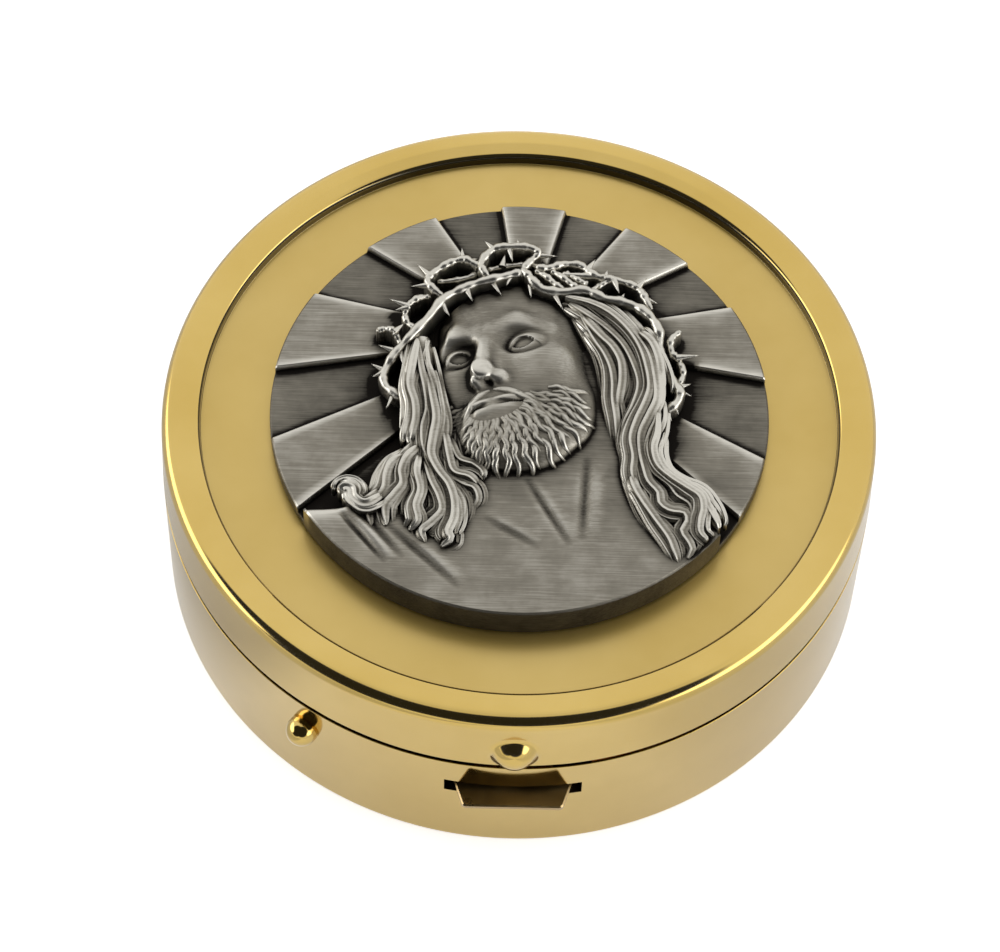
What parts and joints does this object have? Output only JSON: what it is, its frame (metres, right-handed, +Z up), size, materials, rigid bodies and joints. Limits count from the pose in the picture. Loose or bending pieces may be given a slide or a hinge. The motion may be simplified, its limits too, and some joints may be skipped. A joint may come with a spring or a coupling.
{
  "type": "pyx",
  "caption": "Small round hinged metal box with a press latch at the front and a cast relief plaque on the lid, for carrying flat wafers.",
  "frame": {"origin": "centre of the flat underside of the base, on the axis of the round body", "axes": "+Z up through the lid, -Y out through the latch tongue at the front, hinge at +Y"},
  "size_m": [0.054, 0.0556, 0.0217],
  "materials": {
    "gilt_brass": "polished",
    "spring_brass": "satin",
    "pewter": "antiqued and brushed",
    "adhesive": "dull"
  },
  "bodies": {
    "base": {"base_cup": "gilt_brass", "base_collar": "gilt_brass", "latch_rivet": "gilt_brass", "base_hinge_leaf": "gilt_brass", "hinge_pin": "gilt_brass"},
    "lid": {"lid_shell": "gilt_brass", "lid_hinge_leaf": "gilt_brass", "plaque_film": "adhesive", "plaque": "pewter"},
    "latch": {"latch_spring": "spring_brass"}
  },
  "joints": [
    {"name": "lid_hinge", "type": "hinge", "parent": "base", "child": "lid", "pos_m": [0, 0.0264, 0.0119], "axis": [-1, 0, 0], "range_deg": [0, 100]},
    {"name": "latch_press", "type": "hinge", "parent": "base", "child": "latch", "pos_m": [-0.0149, -0.02143, 0.0085], "axis": [0, 0, 1], "range_deg": [0, 3.6], "stiffness_Nm_per_rad": 0.02}
  ]
}
